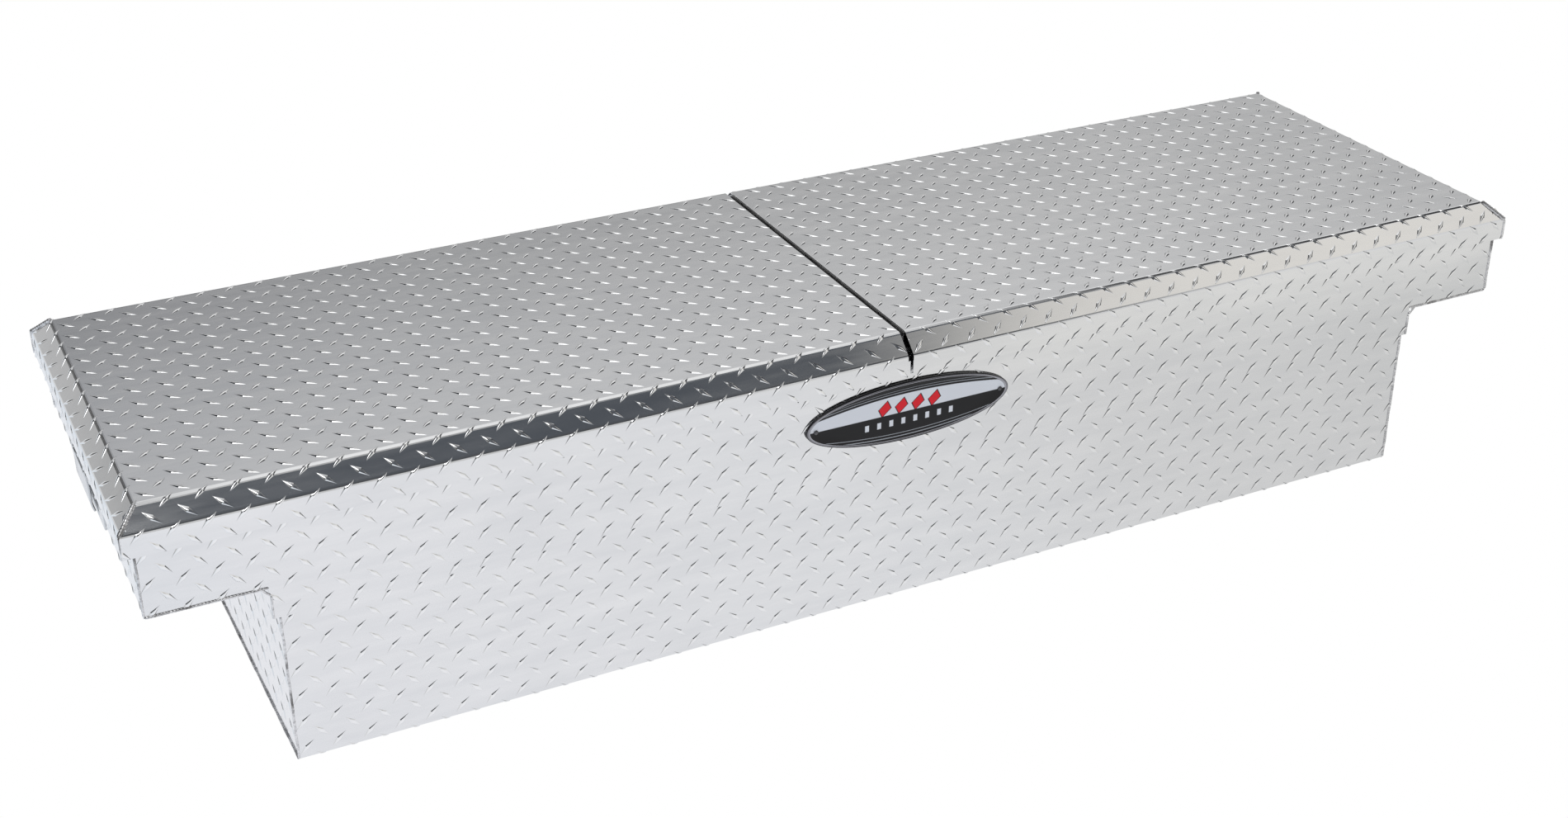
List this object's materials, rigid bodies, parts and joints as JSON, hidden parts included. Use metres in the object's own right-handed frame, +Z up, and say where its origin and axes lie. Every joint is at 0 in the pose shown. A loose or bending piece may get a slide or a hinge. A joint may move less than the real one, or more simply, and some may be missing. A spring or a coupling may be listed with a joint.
{
  "type": "truck tool box",
  "caption": "Crossover truck bed tool box in tread plate: deep tub, a wing at each end, gull-wing lids hinged on a middle bridge, paddle latches at the ends.",
  "frame": {"origin": "bottom centre of the box, on the underside of the tub's floor", "axes": "+X to the right along the length, +Y to the back, +Z up"},
  "size_m": [1.79, 0.52, 0.347],
  "materials": {
    "tread_plate": "bright rolled tread plate",
    "plain_sheet": "plain mill-finish sheet",
    "hinge_steel": "stainless, brushed",
    "latch_steel": "stainless, polished",
    "lock_chrome": "chrome",
    "zinc_fastener": "zinc plated",
    "seal_rubber": "matt black",
    "strut_black": "satin black paint",
    "rod_chrome": "ground and chromed",
    "badge_black": "gloss black and silver"
  },
  "bodies": {
    "tub": {"lower_tub": "tread_plate", "left_tub_end": "tread_plate", "right_tub_end": "tread_plate", "front_apron": "tread_plate", "rear_apron": "tread_plate", "front_rim": "tread_plate", "rear_rim": "tread_plate", "left_wing_pan": "tread_plate", "right_wing_pan": "tread_plate", "left_rim_seal": "seal_rubber", "right_rim_seal": "seal_rubber", "centre_bridge": "plain_sheet", "hinge_rib": "plain_sheet", "centre_gasket": "seal_rubber", "hinge_rivets": "zinc_fastener", "left_hinge_leaf": "hinge_steel", "right_hinge_leaf": "hinge_steel", "left_hinge_pin": "hinge_steel", "right_hinge_pin": "hinge_steel", "left_latch_dish": "latch_steel", "right_latch_dish": "latch_steel", "left_latch_case": "zinc_fastener", "right_latch_case": "zinc_fastener", "left_paddle_pin": "zinc_fastener", "right_paddle_pin": "zinc_fastener", "left_paddle_spring": "zinc_fastener", "right_paddle_spring": "zinc_fastener", "latch_screws": "zinc_fastener", "left_strut_foot": "zinc_fastener", "right_strut_foot": "zinc_fastener", "badge_plate": "badge_black", "badge_rivets": "zinc_fastener"},
    "left_lid": {"left_lid_skin": "tread_plate", "left_lid_liner": "plain_sheet", "left_lid_ribs": "plain_sheet", "left_lid_leaf": "hinge_steel", "left_striker": "zinc_fastener", "left_strut_lug": "zinc_fastener"},
    "left_paddle": {"left_paddle": "latch_steel"},
    "left_latch_bolt": {"left_latch_bolt": "zinc_fastener"},
    "left_lock_plug": {"left_lock_plug": "lock_chrome"},
    "left_strut_tube": {"left_strut_tube": "strut_black"},
    "left_strut_rod": {"left_strut_rod": "rod_chrome"},
    "right_lid": {"right_lid_skin": "tread_plate", "right_lid_liner": "plain_sheet", "right_lid_ribs": "plain_sheet", "right_lid_leaf": "hinge_steel", "right_striker": "zinc_fastener", "right_strut_lug": "zinc_fastener"},
    "right_paddle": {"right_paddle": "latch_steel"},
    "right_latch_bolt": {"right_latch_bolt": "zinc_fastener"},
    "right_lock_plug": {"right_lock_plug": "lock_chrome"},
    "right_strut_tube": {"right_strut_tube": "strut_black"},
    "right_strut_rod": {"right_strut_rod": "rod_chrome"}
  },
  "joints": [
    {"name": "left_lid_hinge", "type": "hinge", "parent": "tub", "child": "left_lid", "pos_m": [-0.0055, 0, 0.3429], "axis": [0, 1, 0], "range_deg": [0, 55]},
    {"name": "left_paddle_pull", "type": "hinge", "parent": "tub", "child": "left_paddle", "pos_m": [-0.8892, 0, 0.282], "axis": [0, 1, 0], "range_deg": [0, 22], "stiffness_Nm_per_rad": 0.4, "springref_deg": -11.46},
    {"name": "left_bolt_slide", "type": "slide", "parent": "tub", "child": "left_latch_bolt", "axis": [-1, 0, 0], "range_m": [0, 0.0108]},
    {"name": "left_key_turn", "type": "hinge", "parent": "tub", "child": "left_lock_plug", "pos_m": [-0.883, 0.058, 0.258], "axis": [1, 0, 0], "range_deg": [0, 90]},
    {"name": "left_strut_swing", "type": "hinge", "parent": "tub", "child": "left_strut_tube", "pos_m": [-0.0455, 0.212, 0.1429], "axis": [0, 1, 0], "range_deg": [0, 26.5]},
    {"name": "left_strut_extend", "type": "slide", "parent": "left_strut_tube", "child": "left_strut_rod", "axis": [-0.6794, 0, 0.7338], "range_m": [0, 0.134]},
    {"name": "right_lid_hinge", "type": "hinge", "parent": "tub", "child": "right_lid", "pos_m": [0.0055, 0, 0.3429], "axis": [0, -1, 0], "range_deg": [0, 55]},
    {"name": "right_paddle_pull", "type": "hinge", "parent": "tub", "child": "right_paddle", "pos_m": [0.8892, 0, 0.282], "axis": [0, -1, 0], "range_deg": [0, 22], "stiffness_Nm_per_rad": 0.4, "springref_deg": -11.46},
    {"name": "right_bolt_slide", "type": "slide", "parent": "tub", "child": "right_latch_bolt", "axis": [1, 0, 0], "range_m": [0, 0.0108]},
    {"name": "right_key_turn", "type": "hinge", "parent": "tub", "child": "right_lock_plug", "pos_m": [0.883, 0.058, 0.258], "axis": [1, 0, 0], "range_deg": [0, 90]},
    {"name": "right_strut_swing", "type": "hinge", "parent": "tub", "child": "right_strut_tube", "pos_m": [0.0455, 0.212, 0.1429], "axis": [0, -1, 0], "range_deg": [0, 26.5]},
    {"name": "right_strut_extend", "type": "slide", "parent": "right_strut_tube", "child": "right_strut_rod", "axis": [0.6794, 0, 0.7338], "range_m": [0, 0.134]}
  ],
  "couplings": [
    {"joint": "left_bolt_slide", "follows": "left_paddle_pull", "m_per_rad": 0.02753},
    {"joint": "left_strut_swing", "follows": "left_lid_hinge", "ratio": 0.4732},
    {"joint": "left_strut_extend", "follows": "left_lid_hinge", "m_per_rad": 0.139},
    {"joint": "right_bolt_slide", "follows": "right_paddle_pull", "m_per_rad": 0.02753},
    {"joint": "right_strut_swing", "follows": "right_lid_hinge", "ratio": 0.4732},
    {"joint": "right_strut_extend", "follows": "right_lid_hinge", "m_per_rad": 0.139}
  ]
}
